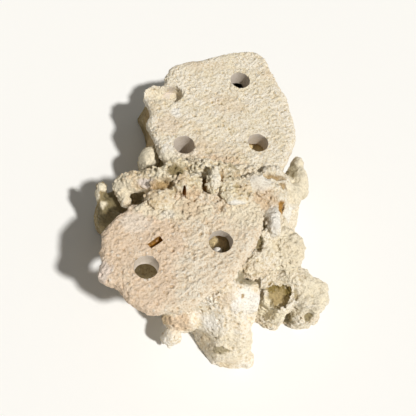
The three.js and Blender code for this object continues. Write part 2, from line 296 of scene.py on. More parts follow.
def limestone(name, tones, stain, fleck, dirt_and_shade, fleck_mm=1.6, slope=0.0, relief_mm=1.3, speckle=0.5):
    """Chalky limestone: clouds, stains, flecks, grains, dirt and painted shade in the hollows, paint, and a
    fine relief.
    """
    material = bpy.data.materials.new(name + "_limestone")
    material.use_nodes = True
    tree = material.node_tree
    tree.nodes.clear()
    point = add(tree, "ShaderNodeTexCoord").outputs["Object"]
    mm = add(tree, "ShaderNodeMapping", {"Vector": point, "Scale": (1 / MM, 1 / MM, 1 / MM)})
    body = clouded(tree, mm, tones, stain, slope)
    noisy = {"Vector": mm, "Scale": 1 / fleck_mm, "Detail": 3, "Roughness": 0.7}
    specks = add(tree, NOISE, noisy).outputs["Fac"]
    dark = {"Value": specks, "From Min": 0.5, "From Max": 0.36, "To Min": 0.0, "To Max": 0.7}
    flecks = add(tree, MAP_RANGE, dark)
    mixed = {SHARE: flecks, FIRST: body, SECOND: colour(fleck)}
    flecked = add(tree, MIX, mixed, data_type="RGBA").outputs[MIXED]
    grain, pinhole = dots(tree, mm)
    grainy = dotted(tree, flecked, (grain, pinhole), speckle, dirt_and_shade[0])
    final = coated(tree, soiled_and_shaded(tree, mm, grainy, dirt_and_shade), specks)

    raised = add(tree, MATH, (grain, GRAIN_RISE, specks), operation="MULTIPLY_ADD")
    height = add(tree, MATH, (pinhole, PINHOLE_RISE, raised), operation="MULTIPLY_ADD")
    relief = add(tree, "ShaderNodeBump", {"Height": height, "Strength": 1.0, "Distance": relief_mm * MM})
    shader = add(
        tree,
        "ShaderNodeBsdfPrincipled",
        {
            "Base Color": final,
            "Roughness": CHALK_ROUGHNESS,
            "IOR": CALCITE_IOR,
            "Specular IOR Level": CHALK_SPECULAR,
            "Normal": relief,
        },
    )
    add(tree, "ShaderNodeOutputMaterial", {"Surface": shader})
    return material


print("chalk has an IOR of", CALCITE_IOR, "and a roughness of", CHALK_ROUGHNESS)

# %% [markdown]
# ## Ten kinds of limestone
# All are one stone, at different ages and places; the brown is partly, and the near-black one wholly,
# painted shade.
# Mixing one material by masks would be harder to change, so each kind has its own: two body tones, a stain
# and its share, a fleck, and a dirt, which also paints the hollows' shade, and its share.

# %% Stone of the ledges
SKIN = {"fleck_mm": 1.2}  # the ledges' flecks are fine
# Bleached and chalky: pale cream in soft clouds, tan in the hollows as settled dirt and as painted shade.
cream = limestone("cream", ("#faf3e4", "#f1e6cd"), ("#ebd9bd", 0.3), "#cdb384", ("#b29a62", 0.6), **SKIN)
# The same skin with a pinkish stain, stronger towards the left.
pink = limestone(
    "pink", ("#f5ebd8", "#eddcc2"), ("#edd5bb", 0.2), "#cdae86", ("#b0946a", 0.6), **SKIN, slope=0.2
)
# A drill leaves a clean and nearly smooth wall, greyer than the skin.
worn = SKIN | {"relief_mm": 0.15, "speckle": 0.1}
drilled = limestone(
    "drilled", ("#ddd3c8", "#d3c9bc"), ("#cfc2ac", 0.2), "#c8bca6", ("#b0a080", 0.2), **worn
)
print("ledges:", cream.name, pink.name, drilled.name)

# %% Stone of the rocks
# Freshly broken: white and granular.
broken = limestone("broken", ("#fcf6ea", "#f4e9d2"), ("#eedcbc", 0.3), "#d6bd90", ("#b89d64", 0.6))
# A crust of crumbs: cream on the crumbs, and brown between them, as dirt and as painted shade.
crumbs = limestone(
    "crumb", ("#f7efdb", "#ecdfbe"), ("#e4ccac", 0.5), "#c8ac76", ("#a0844a", 0.75), fleck_mm=1.3
)
# Weathered low down, where algae grew: olive brown, and darker still as painted shade for the rock under and
# beside the ledges.
brown = limestone("brown", ("#bba882", "#988761"), ("#a59169", 0.4), "#7e6c46", ("#5c4d2e", 0.75))
print("rocks:", broken.name, crumbs.name, brown.name)

# %% Stone of the hollows
# Stained by standing water: tan.
stained = limestone("stained", ("#d3b484", "#bd9a66"), ("#b08c54", 0.5), "#957848", ("#70582f", 0.6))
# The floor of the corner's pit: smooth and olive.
even = {"relief_mm": 0.5, "speckle": 0.1}
hollowed = limestone(
    "hollowed", ("#92804c", "#877443"), ("#7f6d3e", 0.3), "#7d6b3f", ("#6b5a32", 0.5), **even
)
# Iron stain in the slit and in a seam: amber.
amber = limestone(
    "amber", ("#d2a04e", "#b37f34"), ("#96682a", 0.4), "#8a6026", ("#5e4420", 0.5), speckle=0.2
)
# Near-black painted shade, for the void under a hole, seen through it.
void_shade = limestone(
    "painted_void", ("#3a3224", "#2c2519"), ("#241e14", 0.3), "#2a2418", ("#1c170f", 0.5), speckle=0.0
)
print("hollows:", stained.name, hollowed.name, amber.name, void_shade.name)

# %% [markdown]
# ## Coral crumbs
# Bits of coral are stuck all over the rubble. Particles could place them too, but Geometry Nodes leave a
# mesh to go on with: they scatter rough balls over a solid, inside an ellipsoid and where noise allows.

# %% Groups and places
RAGGED_RATE = 260.0  # waves per metre on the border of an ellipsoid


def group(name, sockets):
    """A new group of Geometry Nodes from geometry to geometry, and the outputs of its other inputs."""
    tree = bpy.data.node_groups.new(name, "GeometryNodeTree")
    tree.interface.new_socket("Geometry", in_out="INPUT", socket_type="NodeSocketGeometry")
    for title, kind in sockets.items():
        tree.interface.new_socket(title, in_out="INPUT", socket_type="NodeSocket" + kind)
    tree.interface.new_socket("Geometry", in_out="OUTPUT", socket_type="NodeSocketGeometry")
    return tree, add(tree, "NodeGroupInput").outputs


def nearness(tree, position, centre, half):
    """1 well inside an ellipsoid, falling to 0 outside it, with a ragged border."""
    away = add(tree, VECTOR_MATH, (position, centre), operation="SUBTRACT")
    scaled = add(tree, VECTOR_MATH, (away, half), operation="DIVIDE")
    distance = add(tree, VECTOR_MATH, (scaled,), operation="LENGTH").outputs["Value"]
    ragged = add(tree, NOISE, {"Vector": position, "Scale": RAGGED_RATE, "Detail": 2.0})
    swing = {"From Min": 0.25, "From Max": 0.75, "To Min": 0.65, "To Max": 1.35}
    wave = add(tree, MAP_RANGE, {"Value": ragged.outputs["Fac"]} | swing)
    shifted = add(tree, MATH, (distance, wave), operation="MULTIPLY")
    border = {"Value": shifted, "From Min": 1.1, "From Max": 0.65}
    return add(tree, MAP_RANGE, border, interpolation_type="SMOOTHSTEP")


def busyness(tree):
    """1 where the mesh isn't marked calm, falling to 0 where it is."""
    calm = add(tree, READ, {"Name": "calm"})
    return add(tree, MATH, (1.0, calm), operation="SUBTRACT")


print("borders wave every", round(1000 / RAGGED_RATE, 1), "mm")

# %% Crumb scatter
CLOUD_RATE = 110.0  # clouds of crumbs per metre
MOST_CRUMBS = 900000.0  # per square metre, more than the spacing ever lets through
FULL_TURN = 6.28


def random_vectors(tree, low, high, seed):
    """A random vector between two for each crumb."""
    return add(tree, "FunctionNodeRandomValue", {0: low, 1: high, "Seed": seed}, data_type="FLOAT_VECTOR")


def crumb_points(tree, given):
    """Points on the surface inside the ellipsoid, where it isn't calm and the clouds allow them."""
    position = add(tree, "GeometryNodeInputPosition")
    reach = nearness(tree, position, given["Centre"], given["Half"])
    clouds = add(tree, NOISE, {"Vector": position, "Scale": CLOUD_RATE, "Detail": 2.0})
    busy_reach = add(tree, MATH, (reach, busyness(tree)), operation="MULTIPLY")
    cover = add(tree, MATH, (busy_reach, given["Cover"]), operation="MULTIPLY")
    threshold = add(tree, MAP_RANGE, {"Value": cover, "To Min": 0.75, "To Max": 0.25})
    return add(
        tree,
        "GeometryNodeDistributePointsOnFaces",
        {
            "Mesh": given["Geometry"],
            "Distance Min": add(tree, MATH, (given["Spacing"], MM), operation="MULTIPLY"),
            "Density Max": MOST_CRUMBS,
            "Density Factor": add(tree, "FunctionNodeCompare", (clouds.outputs["Fac"], threshold)),
            "Seed": given["Seed"],
        },
        distribute_method="POISSON",
    )


def crumb_tree():
    """Geometry Nodes that grow rough balls on a surface. Sizes are in mm."""
    sockets = dict.fromkeys(("Spacing", "Smallest", "Largest", "Cover"), "Float")
    sockets |= {"Centre": "Vector", "Half": "Vector", "Seed": "Int", "Material": "Material"}
    tree, given = group("coral_crumbs", sockets)
    seed = given["Seed"]
    limits = {LEAST: given["Smallest"], MOST: given["Largest"], "Seed": seed}
    size = add(tree, "FunctionNodeRandomValue", limits).outputs[DRAWN]
    stretch = random_vectors(tree, (0.75, 0.75, 0.6), (1.25, 1.25, 1.1), seed)
    balls = add(
        tree,
        "GeometryNodeInstanceOnPoints",
        {
            "Points": crumb_points(tree, given),
            "Instance": add(tree, "GeometryNodeMeshIcoSphere", {"Radius": MM, "Subdivisions": 2}),
            "Rotation": random_vectors(tree, (0.0, 0.0, 0.0), (FULL_TURN, FULL_TURN, FULL_TURN), seed),
            "Scale": add(tree, VECTOR_MATH, {0: stretch, "Scale": size}, operation="SCALE"),
        },
    )
    real = add(tree, "GeometryNodeRealizeInstances", {"Geometry": balls})
    whole = add(tree, "GeometryNodeJoinGeometry", {"Geometry": real})
    tree.links.new(given["Geometry"], whole.inputs["Geometry"])
    finished = add(tree, "GeometryNodeSetMaterial", {"Geometry": whole, "Material": given["Material"]})
    add(tree, "NodeGroupOutput", (finished,))
    return tree


CRUMBS = crumb_tree()
print(CRUMBS.name, "has", len(CRUMBS.nodes), "nodes")

# %% [markdown]
# ## Weathering
# A bare solid is too smooth. A second group pushes its surface along the normals, in swells, chips, grain
# and pits. Displacement in the material would be lost when the part is exported. The group also measures
# where the surface is hollow, which the materials read to place dirt and painted shade.

# %% Swells and chips
NOISE_SWING = 3.0  # noise stays near its middle, so it is stretched to reach its full height


def swells(tree, mm, given, rate):
    """Broad swells: how far out the surface goes, in metres."""
    broad = add(tree, NOISE, {"Vector": mm, "Scale": rate["Swell"], "Detail": 2.0})
    centred = add(tree, MATH, (broad.outputs["Fac"], 0.5), operation="SUBTRACT")
    swell_mm = add(tree, MATH, (centred, given["Swell Height"]), operation="MULTIPLY")
    return add(tree, MATH, (swell_mm, NOISE_SWING * MM), operation="MULTIPLY")


def bent_space(tree, mm, given, rate):
    """The position in mm, warped so that cells drawn in it have irregular outlines."""
    warp = add(tree, NOISE, {"Vector": mm, "Scale": rate["Chip"], "Detail": 2.0})
    bend = add(tree, VECTOR_MATH, {0: warp.outputs["Color"], "Scale": given["Chip"]}, operation="SCALE")
    return add(tree, VECTOR_MATH, (mm, bend), operation="ADD")


def chips(tree, mm, bent, given, rate):
    """Chips or beads of uneven height, much lower in smooth patches."""
    cells = add(tree, "ShaderNodeTexVoronoi", {"Vector": bent, "Scale": rate["Chip"]})
    round_off = add(tree, MATH, (cells.outputs["Distance"], 2.0), operation="POWER")
    bead = add(tree, MATH, (0.35, round_off), operation="SUBTRACT")
    lift = add(tree, "FunctionNodeSeparateColor", (cells.outputs["Color"],))
    lift_range = add(tree, MAP_RANGE, {"Value": lift, "To Min": 0.4, "To Max": 1.6})
    beads = add(tree, MATH, (bead, lift_range), operation="MULTIPLY")

    patch = add(tree, NOISE, {"Vector": mm, "Scale": rate["Swell"], "Detail": 1.0})
    start = add(tree, MAP_RANGE, {"Value": given["Smooth Share"], "To Min": 0.2, "To Max": 0.65})
    end = add(tree, MATH, (start, 0.15), operation="ADD")
    edges = {"Value": patch.outputs["Fac"], "From Min": start, "From Max": end, "To Min": 0.15}
    rough_share = add(tree, MAP_RANGE, edges)
    chip_here = add(tree, MATH, (given["Chip Height"], rough_share), operation="MULTIPLY")
    return add(tree, MATH, (beads, chip_here), operation="MULTIPLY")


print("noise is stretched", NOISE_SWING, "times")

# %% Grain and pits
GRAIN_TURN = -0.7  # radians from the X axis to the run of the grain


def grain_height(tree, mm, given, rate):
    """Fine grain, drawn out along one way where Stretch is below 1."""
    turned = add(tree, "ShaderNodeVectorRotate", {"Vector": mm, "Angle": GRAIN_TURN}, rotation_type="Z_AXIS")
    squeeze = add(tree, "ShaderNodeCombineXYZ", {"X": given["Stretch"], "Y": 1.0, "Z": 1.0})
    long = add(tree, VECTOR_MATH, (turned, squeeze), operation="MULTIPLY")
    noisy = {"Vector": long, "Scale": rate["Grain"], "Detail": 4.0, "Roughness": 0.7}
    fine = add(tree, NOISE, noisy).outputs["Fac"]
    centred = add(tree, MATH, (fine, 0.5), operation="SUBTRACT")
    swing = add(tree, MATH, (centred, NOISE_SWING), operation="MULTIPLY")
    return add(tree, MATH, (swing, given["Grain Height"]), operation="MULTIPLY")


def pit_depth(tree, bent, given, rate):
    """Small bowls in a share of the cells."""
    cells = add(tree, "ShaderNodeTexVoronoi", {"Vector": bent, "Scale": rate["Pit"]})
    pick = add(tree, "FunctionNodeSeparateColor", (cells.outputs["Color"],))
    chosen = add(tree, MATH, (pick, given["Pit Share"]), operation="LESS_THAN")
    bowl = add(tree, MAP_RANGE, {"Value": cells.outputs["Distance"], "From Min": 0.32, "From Max": 0.1})
    pits = add(tree, MATH, (bowl, chosen), operation="MULTIPLY")
    return add(tree, MATH, (pits, given["Pit Depth"]), operation="MULTIPLY")


print("the grain runs", round(math.degrees(GRAIN_TURN)), "degrees from X")

# %% Rest and hollows
HOLLOW_ROUNDS = 10  # how wide the surface is averaged to tell hollows from bumps


def kept_above_floor(tree, rough, position):
    """Nothing of the rock sinks below the plane that it stands on."""
    parts = add(tree, "ShaderNodeSeparateXYZ", {"Vector": position}).outputs
    above = add(tree, MATH, (parts["Z"], 0.0), operation="MAXIMUM")
    level = add(tree, "ShaderNodeCombineXYZ", {"X": parts["X"], "Y": parts["Y"], "Z": above})
    return add(tree, SET_POSITION, {"Geometry": rough, "Position": level})


def with_hollows(tree, surface, position, normal):
    """Stores how many mm each point lies below the average of the surface round it."""
    around = {0: position, "Iterations": HOLLOW_ROUNDS}
    smooth = add(tree, "GeometryNodeBlurAttribute", around, data_type="FLOAT_VECTOR")
    sunk = add(tree, VECTOR_MATH, (smooth, position), operation="SUBTRACT")
    depth = add(tree, VECTOR_MATH, (sunk, normal), operation="DOT_PRODUCT")
    depth_mm = add(tree, MATH, (depth.outputs["Value"], 1 / MM), operation="MULTIPLY")
    return add(tree, STORE, {"Geometry": surface, "Name": "hollow", "Value": depth_mm})


print("hollows show after", HOLLOW_ROUNDS, "rounds")

# %% Weather tree
LAYERS = ("Swell", "Swell Height", "Chip", "Chip Height", "Grain", "Grain Height")
LAYERS += ("Pit", "Pit Depth", "Pit Share", "Smooth Share", "Stretch")


def weather_tree():
    """Geometry Nodes that roughen a fine mesh. Sizes and heights are in mm."""
    sockets = dict.fromkeys((*LAYERS, "Seed"), "Float") | {"Material": "Material"}
    tree, given = group("weathering", sockets)
    position = add(tree, "GeometryNodeInputPosition").outputs[0]
    normal = add(tree, "GeometryNodeInputNormal").outputs[0]
    scaled = add(tree, VECTOR_MATH, {0: position, "Scale": 1 / MM}, operation="SCALE")
    mm = add(tree, VECTOR_MATH, (scaled, given["Seed"]), operation="ADD")
    rate = {
        name: add(tree, MATH, (1.0, given[name]), operation="DIVIDE")
        for name in ("Swell", "Chip", "Grain", "Pit")
    }

    push = add(tree, VECTOR_MATH, {0: normal, "Scale": swells(tree, mm, given, rate)}, operation="SCALE")
    swollen = add(tree, SET_POSITION, {"Geometry": given["Geometry"], "Offset": push})

    bent = bent_space(tree, mm, given, rate)
    raised = (chips(tree, mm, bent, given, rate), grain_height(tree, mm, given, rate))
    rise = add(tree, MATH, raised, operation="ADD")
    total = add(tree, MATH, (rise, pit_depth(tree, bent, given, rate)), operation="SUBTRACT")
    busy_total = add(tree, MATH, (total, busyness(tree)), operation="MULTIPLY")
    total_m = add(tree, MATH, (busy_total, MM), operation="MULTIPLY")
    rough_push = add(tree, VECTOR_MATH, {0: normal, "Scale": total_m}, operation="SCALE")
    rough = add(tree, SET_POSITION, {"Geometry": swollen, "Offset": rough_push})

    marked = with_hollows(tree, kept_above_floor(tree, rough, position), position, normal)
    smooth_faces = add(tree, "GeometryNodeSetShadeSmooth", {"Geometry": marked})
    real = add(tree, "GeometryNodeRealizeInstances", {"Geometry": smooth_faces})
    finished = add(tree, "GeometryNodeSetMaterial", {"Geometry": real, "Material": given["Material"]})
    add(tree, "NodeGroupOutput", (finished,))
    return tree


WEATHER = weather_tree()
print(WEATHER.name, "has", len(WEATHER.nodes), "nodes")

# %% [markdown]
# ## Touches one by one
# Noise alone doesn't put a hollow, a stain, or a patch of painted shade or light in its place. Four small
# groups help: one rounds facets off, one pushes a spot or keeps it calm, one lays a thin coat of paint, and
# one keeps rims crisp. Sculpting and brushes could do the same, but a script can't repeat them.

# %% Soften and push
def soften_tree():
    """Geometry Nodes that round the facets of a solid off."""
    tree, given = group("soften", {"Rounds": "Int"})
    position = add(tree, "GeometryNodeInputPosition")
    around = {0: position, "Iterations": given["Rounds"]}
    eased = add(tree, "GeometryNodeBlurAttribute", around, data_type="FLOAT_VECTOR")
    soft = add(tree, SET_POSITION, {"Geometry": given["Geometry"], "Position": eased})
    add(tree, "NodeGroupOutput", (soft,))
    return tree


def push_tree():
    """Geometry Nodes that push one spot of a surface, and mark how calm it is to stay."""
    tree, given = group("push", {"Centre": "Vector", "Half": "Vector", "Push": "Vector", "Calm": "Float"})
    position = add(tree, "GeometryNodeInputPosition")
    near = nearness(tree, position, given["Centre"], given["Half"])
    before = add(tree, READ, {"Name": "calm"})
    here = add(tree, MATH, (near, given["Calm"]), operation="MULTIPLY")
    calmest = add(tree, MATH, (before, here), operation="MAXIMUM")
    marked = add(tree, STORE, {"Geometry": given["Geometry"], "Name": "calm", "Value": calmest})
    offset = add(tree, VECTOR_MATH, {0: given["Push"], "Scale": near}, operation="SCALE")
    moved = add(tree, SET_POSITION, {"Geometry": marked, "Offset": offset})
    add(tree, "NodeGroupOutput", (moved,))
    return tree


SOFTEN = soften_tree()
PUSH = push_tree()
print(SOFTEN.name, "and", PUSH.name, "have", len(SOFTEN.nodes) + len(PUSH.nodes), "nodes")

# %% Paint coat
def paint_tree():
    """Geometry Nodes that lay a thin coat of colour over one spot of a surface."""
    tree, given = group("paint", {"Centre": "Vector", "Half": "Vector", "Paint": "Color", "Share": "Float"})
    position = add(tree, "GeometryNodeInputPosition")
    near = nearness(tree, position, given["Centre"], given["Half"])
    coat = add(tree, MATH, (near, given["Share"]), operation="MULTIPLY")
    before = add(tree, READ, {"Name": "paint"}, data_type="FLOAT_COLOR")
    over = add(tree, MIX, {SHARE: coat, FIRST: before, SECOND: given["Paint"]}, data_type="RGBA")
    painted = {"Geometry": given["Geometry"], "Name": "paint", "Value": over.outputs[MIXED]}
    coloured = add(tree, STORE, painted, data_type="FLOAT_COLOR")
    covered = add(tree, READ, {"Name": "painted"})
    left = add(tree, MATH, (1.0, coat), operation="SUBTRACT")
    cover = add(tree, MATH, (covered, left, coat), operation="MULTIPLY_ADD")
    tinted = add(tree, STORE, {"Geometry": coloured, "Name": "painted", "Value": cover})
    add(tree, "NodeGroupOutput", (tinted,))
    return tree


PAINT = paint_tree()
print(PAINT.name, "has", len(PAINT.nodes), "nodes")

# %% Crisp edges
STEEP_EDGE = math.radians(48)


def crisp_tree():
    """Geometry Nodes that keep steep edges, such as the rim of a drilled hole, from being shaded round."""
    tree, given = group("crisp_edges", {})
    angle = add(tree, "GeometryNodeInputMeshEdgeAngle").outputs["Unsigned Angle"]
    steep = add(tree, "FunctionNodeCompare", (angle, STEEP_EDGE))
    smooth_faces = add(tree, "GeometryNodeSetShadeSmooth", {"Geometry": given["Geometry"]})
    crisp = add(
        tree,
        "GeometryNodeSetShadeSmooth",
        {"Geometry": smooth_faces, "Selection": steep, "Shade Smooth": False},
        domain="EDGE",
    )
    add(tree, "NodeGroupOutput", (crisp,))
    return tree


CRISP = crisp_tree()
print("edges over", round(math.degrees(STEEP_EDGE)), "degrees stay crisp")

# %% [markdown]
# ## From solid to stone
# Every piece is a welded copy of its solid with the drilled holes plugged. It gets crumbs, even faces and
# weather, and stays a plain mesh. Subdividing would keep the solid's long thin triangles, so it is
# remeshed. The holes are cut last, so that their walls stay clean as a drill leaves them.

# %% Shapes to start from
PLUG_SIDES = 24
PLUG_OVERLAP = 0.5  # a plug reaches this far into its hole's wall, so that no slit is left round it


def welded(node):
    """A copy of a solid with its loose triangles joined, as an edit mesh."""
    mesh = bmesh.new()
    mesh.from_mesh(frame["nodes"][node].data)
    bmesh.ops.remove_doubles(mesh, verts=mesh.verts, dist=1e-3 * MM)
    return mesh


def plug(mesh, hole, low, high, width=HOLE_RADIUS + PLUG_OVERLAP):
    """Fills a drilled hole between two heights."""
    x, y = PLAN_HOLES[hole]
    bmesh.ops.create_cone(
        mesh,
        cap_ends=True,
        cap_tris=True,
        segments=PLUG_SIDES,
        radius1=width * MM,
        radius2=width * MM,
        depth=(high - low) * MM,
        matrix=Matrix.Translation(place(x, y, (low + high) / 2)),
    )


def swell(mesh, centre, half):
    """Adds a smooth lump, which the remesh joins to the rest."""
    where = Matrix.Translation(place(*centre)) @ Matrix.Diagonal((*(h * MM for h in half), 1))
    bmesh.ops.create_icosphere(mesh, subdivisions=3, radius=1, matrix=where)


def block(mesh, centre, size, turn):
    """Adds a box, turned on its upright axis, and gives the mesh back."""
    shape = Matrix.Rotation(turn, 4, "Z") @ Matrix.Diagonal((*(s * MM for s in size), 1))
    bmesh.ops.create_cube(mesh, size=1, matrix=Matrix.Translation(place(*centre)) @ shape)
    return mesh


print("plugs are", round(2 * (HOLE_RADIUS + PLUG_OVERLAP), 1), "mm wide")

# %% Modifiers
COARSE_VOXEL = 0.9  # mm; the first remesh only has to close the solid's joins


def nodes_modifier(piece, tree, values):
    """A Geometry Nodes modifier with its inputs set by their identifiers."""
    modifier = piece.modifiers.new(tree.name, "NODES")
    modifier.node_group = tree
    for socket in tree.interface.items_tree:
        if socket.in_out == "INPUT" and socket.name in values:
            value = values[socket.name]
            is_float = socket.socket_type == "NodeSocketFloat"
            modifier[socket.identifier] = float(value) if is_float else value


def made_plain(piece):
    """Replaces a piece's mesh by what its modifiers make of it."""
    view = bpy.context.evaluated_depsgraph_get()
    mesh = bpy.data.meshes.new_from_object(
        piece.evaluated_get(view), preserve_all_data_layers=True, depsgraph=view
    )
    piece.modifiers.clear()
    old = piece.data
    piece.data = mesh
    bpy.data.meshes.remove(old)


def even_faces(piece, size):
    """Remeshes a piece into one closed skin of even faces, so that what overlaps grows together."""
    remesh = piece.modifiers.new("even_faces", "REMESH")
    remesh.mode = "VOXEL"
    remesh.voxel_size = size * MM
    remesh.use_smooth_shade = True


print("the first remesh has faces of", COARSE_VOXEL, "mm")

# %% Growing a piece
def stone(node, material, voxel, soften, weather, seed, crumb_sets, touches, mesh=None):
    """A piece of rock from a solid, or from an edit mesh of it that was changed before."""
    data = bpy.data.meshes.new(node + "_stone")
    mesh = mesh or welded(node)
    mesh.to_mesh(data)
    mesh.free()
    piece = bpy.data.objects.new(node + "_stone", data)
    bpy.context.scene.collection.objects.link(piece)
    even_faces(piece, COARSE_VOXEL)
    nodes_modifier(piece, SOFTEN, {"Rounds": soften})
    for touch in touches:
        if touch["Calm"] > 0:
            nodes_modifier(piece, PUSH, touch | {"Push": Vector()})
    for values in crumb_sets:
        nodes_modifier(piece, CRUMBS, values | {"Material": material})
    even_faces(piece, voxel)
    for touch in touches:
        if touch["Push"].length > 0 or touch["Calm"] > 0:
            nodes_modifier(piece, PUSH, touch)
    nodes_modifier(piece, WEATHER, weather | {"Seed": seed, "Material": material})
    made_plain(piece)
    return piece


def settle(piece, touches):
    """Tints a finished piece and ties it to the frame."""
    for touch in touches:
        if touch["Share"] > 0:
            nodes_modifier(piece, PAINT, touch)
    nodes_modifier(piece, CRISP, {})
    made_plain(piece)
    mended = piece.data.validate()
    print(piece.name, "has", len(piece.data.polygons), "faces, mended" if mended else "faces")
    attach(piece, "root")
    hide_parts(piece.name.removesuffix("_stone"))


print("solids to grow:", ", ".join(frame["nodes"]))

# %% [markdown]
# ## Cutting
# A boolean takes a cutter out of a piece and leaves the cutter's material on the fresh walls. The exact
# solver would be slow on meshes this fine, and the manifold one needs closed meshes, which these are.

# %% Cutters
BORE_SIDES = 64
BORE_DEPTH = 16  # deep enough to leave a ledge at its underside
MOUTH_LEVELS = (6, 0.6, -0.1, -0.7, -3)  # mm over the mouth, where a bit's rings lie
MOUTH_FLARE = (0.5, 0.35, 0.15, 0, 0, 0, 0)  # mm that a ring may be wider, where the rim is chipped


def carve(piece, cutter, material):
    """Takes the cutter's volume out of a piece, and gives the fresh walls a material."""
    bmesh.ops.triangulate(cutter, faces=[face for face in cutter.faces if len(face.verts) > 4])
    bmesh.ops.recalc_face_normals(cutter, faces=cutter.faces)
    data = bpy.data.meshes.new("cutter")
    cutter.to_mesh(data)
    cutter.free()
    data.materials.append(material)
    tool = bpy.data.objects.new("cutter", data)
    bpy.context.scene.collection.objects.link(tool)
    cut = piece.modifiers.new("carve", "BOOLEAN")
    cut.operation = "DIFFERENCE"
    cut.solver = "MANIFOLD"
    cut.object = tool
    cut.material_mode = "TRANSFER"
    made_plain(piece)
    bpy.data.objects.remove(tool)


def drill(piece, hole, mouth, floor, width=HOLE_RADIUS):
    """Cuts one drilled hole, with a slightly ragged mouth."""
    cutter = bmesh.new()
    x, y = PLAN_HOLES[hole]
    turn = list(PLAN_HOLES).index(hole)
    levels = [mouth + over for over in MOUTH_LEVELS] + [(mouth + floor) / 2, floor]
    rings = []
    for level, wide in zip(levels, MOUTH_FLARE):
        ring = []
        for k in range(BORE_SIDES):
            angle = 2 * math.pi * k / BORE_SIDES
            chip = 0.5 + 0.5 * math.sin(5 * angle + 2.1 * turn) * math.sin(3 * angle + turn)
            radius = width + wide * chip
            rim = place(x + radius * math.cos(angle), y + radius * math.sin(angle), level)
            ring.append(cutter.verts.new(rim))
        rings.append(ring)
    for upper, lower in zip(rings, rings[1:]):
        for k in range(BORE_SIDES):
            after = (k + 1) % BORE_SIDES
            cutter.faces.new((upper[k], lower[k], lower[after], upper[after]))
    cutter.faces.new(rings[0])
    cutter.faces.new(rings[-1][::-1])
    carve(piece, cutter, drilled)


def pocket(centre, half, lumpy=0.18):
    """A rough ball for a natural cavity."""
    cutter = bmesh.new()
    bmesh.ops.create_icosphere(cutter, subdivisions=5, radius=1)
    for vert in cutter.verts:
        wave = 1 + lumpy * noise.noise(2.2 * vert.co) + 0.5 * lumpy * noise.noise(6 * vert.co)
        vert.co = place(*(c + wave * h * v for c, h, v in zip(centre, half, vert.co)))
    return cutter


print("bores are", 2 * HOLE_RADIUS, "mm wide and", BORE_DEPTH, "mm deep")

# %% [markdown]
# ## Settings
# The pieces share the steps above and differ in numbers only. A weathering has a size and a height for each
# layer, a crumb set says how far apart and how big its crumbs are, and a touch is one spot that is pushed,
# calmed or tinted. The tints have names, so that one stain, or one painted shade or light, looks the same on
# every piece.

# %% Settings of one piece
def weathering(swell, chip, grain, pit, smooth=0.3, stretch=0.8):
    """The settings of the weathering: size and height of each layer in mm, and the share of pits."""
    return dict(zip(LAYERS, (*swell, *chip, *grain, *pit, smooth, stretch)))


def crumb_set(centre, half, spacing, smallest, largest, cover, seed):
    """One scatter of crumbs: where it is, its distances in mm, and how much of the surface it covers."""
    sizes = {"Spacing": spacing, "Smallest": smallest, "Largest": largest, "Cover": cover, "Seed": seed}
    return sizes | {"Centre": place(*centre), "Half": Vector(half) * MM}


def spot(centre, half, paint="#ffffff", share=0.0, push=(0, 0, 0), calm=0.0):
    """One touch: where it is, its colour and how much of it, its push in mm, and how calm it is."""
    return {
        "Centre": place(*centre),
        "Half": Vector(half) * MM,
        "Push": Vector(push) * MM,
        "Paint": colour(paint),
        "Share": share,
        "Calm": calm,
    }


PLATE = weathering((9, 0.6), (1.8, 0.9), (2.1, 0.8), (3.6, 1.3, 0.3), smooth=0.45, stretch=0.4)
CRUMBLY = weathering((6, 0.7), (1.9, 0.9), (3, 0.8), (4, 1.3, 0.3), smooth=0.2)
PITTED = weathering((6, 1.1), (1.9, 1.0), (2.3, 1.2), (4, 1.5, 0.3), smooth=0.2, stretch=0.4)
SMOOTH = weathering((8, 0.8), (2.2, 0.6), (3.6, 0.8), (3.4, 1.5, 0.4), smooth=0.6)
LOW_ROCK = weathering((12, 1.0), (3, 0.6), (5, 0.8), (7, 1.2, 0.3), smooth=0.5)
print("a plate has", len(PLATE), "settings of weather")

# %% Tints
AMBER = "#b58a48"
# Painted shade: olive and tan darken crevices, pits, recesses and faces turned from the light.
OLIVE_SHADE = "#94845a"
TAN_SHADE = "#bfa376"
SHADE = "#7d7253"
BLUSH = "#e0c4a2"
LILAC = "#ede2da"
WHITE = "#fbf7ee"
CREAM = "#f3e8ce"
# Painted light: a pale glow for cavities that the light hardly reaches.
PAINTED_LIGHT = "#f4ddaa"
# Painted light, for a face that lies in shade.
PAINTED_LIGHT_SAND = "#fbf0d2"
DUST = "#b09d72"
print("tints run from", WHITE, "to", SHADE)

# %% [markdown]
# ## The ledges
# They are plates of old coral, nearly flat on top. Flat solids with a texture would look cut, so they are
# weathered as the rocks are, only less, and crumbs creep over them from the rubble between.

# %% Back ledge
PLUG_LIFT = 0.2  # a plug stays this far above the underside, so that it shows nowhere
WHOLE_HOLES = ("back_hole_right_rear", "back_hole_left_front", "back_hole_right_front")
BROKEN_HOLE = "back_hole_left_rear"
BROKEN_DEPTH = 8  # it is shallow

